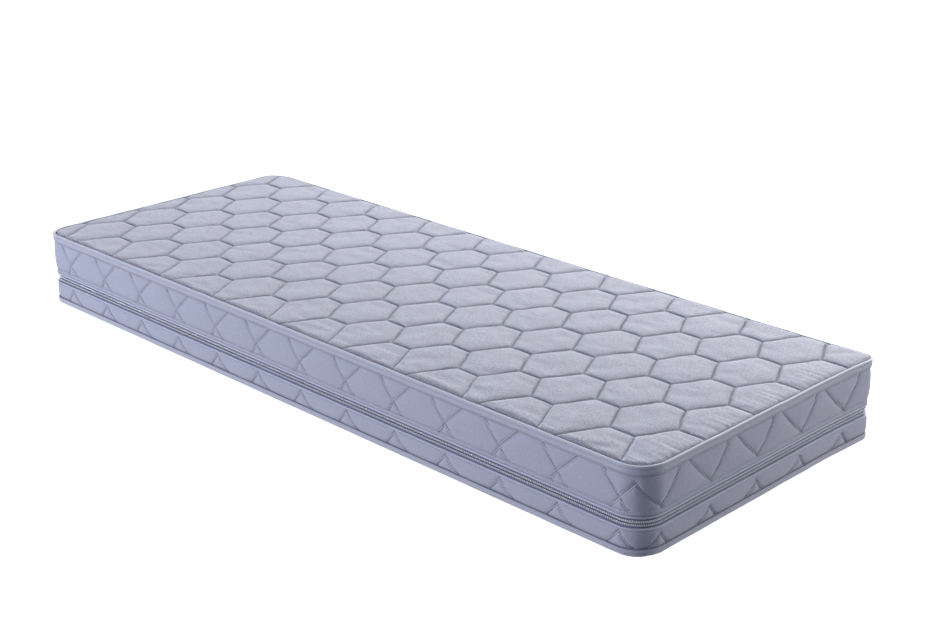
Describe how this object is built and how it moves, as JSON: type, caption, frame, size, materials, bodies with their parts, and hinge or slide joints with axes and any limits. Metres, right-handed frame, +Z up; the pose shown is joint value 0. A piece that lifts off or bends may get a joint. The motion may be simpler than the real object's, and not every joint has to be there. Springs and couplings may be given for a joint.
{
  "type": "memory foam mattress",
  "caption": "Flat rectangular foam mattress in a quilted two-part cover that zips apart around the sides, with a layered foam core in a jersey sleeve.",
  "frame": {"origin": "middle of the underside, on the surface the mattress lies on", "axes": "+X along the length, +Y across the width, +Z up through the thickness"},
  "size_m": [2, 0.78, 0.187],
  "materials": {
    "panel_ticking": "soft knitted ticking, quilted",
    "border_ticking": "soft knitted ticking, quilted",
    "wadding": "loose polyester fibre filling",
    "backing": "thin non-woven",
    "edge_tape": "ribbed woven binding tape",
    "zip_tape": "woven zip tape",
    "zip_coil": "satin polyester coil",
    "zip_metal": "die-cast, satin paint",
    "sleeve_jersey": "thin stretch jersey",
    "memory_foam": "fine closed-looking foam",
    "transition_foam": "open-cell foam",
    "support_foam": "coarse open-cell foam"
  },
  "bodies": {
    "cover_bottom": {"bottom_panel_ticking": "panel_ticking", "bottom_panel_wadding": "wadding", "bottom_panel_backing": "backing", "lower_border_ticking": "border_ticking", "lower_border_wadding": "wadding", "lower_border_backing": "backing", "bottom_edge_tape": "edge_tape", "lower_zip_tape": "zip_tape", "lower_zip_coil": "zip_coil", "zip_end_stop": "zip_metal"},
    "foam_core": {"inner_sleeve": "sleeve_jersey", "memory_foam_layer": "memory_foam", "transition_foam_layer": "transition_foam", "support_foam_core": "support_foam"},
    "cover_top": {"top_panel_ticking": "panel_ticking", "top_panel_wadding": "wadding", "top_panel_backing": "backing", "upper_border_ticking": "border_ticking", "upper_border_wadding": "wadding", "upper_border_backing": "backing", "top_edge_tape": "edge_tape", "upper_zip_tape": "zip_tape", "upper_zip_coil": "zip_coil"},
    "zip_slider": {"slider_body": "zip_metal", "slider_bridge": "zip_metal"},
    "zip_pull": {"pull_tab": "zip_metal"}
  },
  "joints": [
    {"name": "core_lift", "type": "slide", "parent": "cover_bottom", "child": "foam_core", "axis": [0, 0, 1], "range_m": [0, 0.12]},
    {"name": "cover_lift", "type": "slide", "parent": "foam_core", "child": "cover_top", "axis": [0, 0, 1], "range_m": [0, 0.18]},
    {"name": "zip_run", "type": "slide", "parent": "cover_bottom", "child": "zip_slider", "axis": [0, -1, 0], "range_m": [0, 0.53]},
    {"name": "pull_swing", "type": "hinge", "parent": "zip_slider", "child": "zip_pull", "pos_m": [-0.9975, 0.24, 0.066], "axis": [0, 0, 1], "range_deg": [0, 175]}
  ]
}
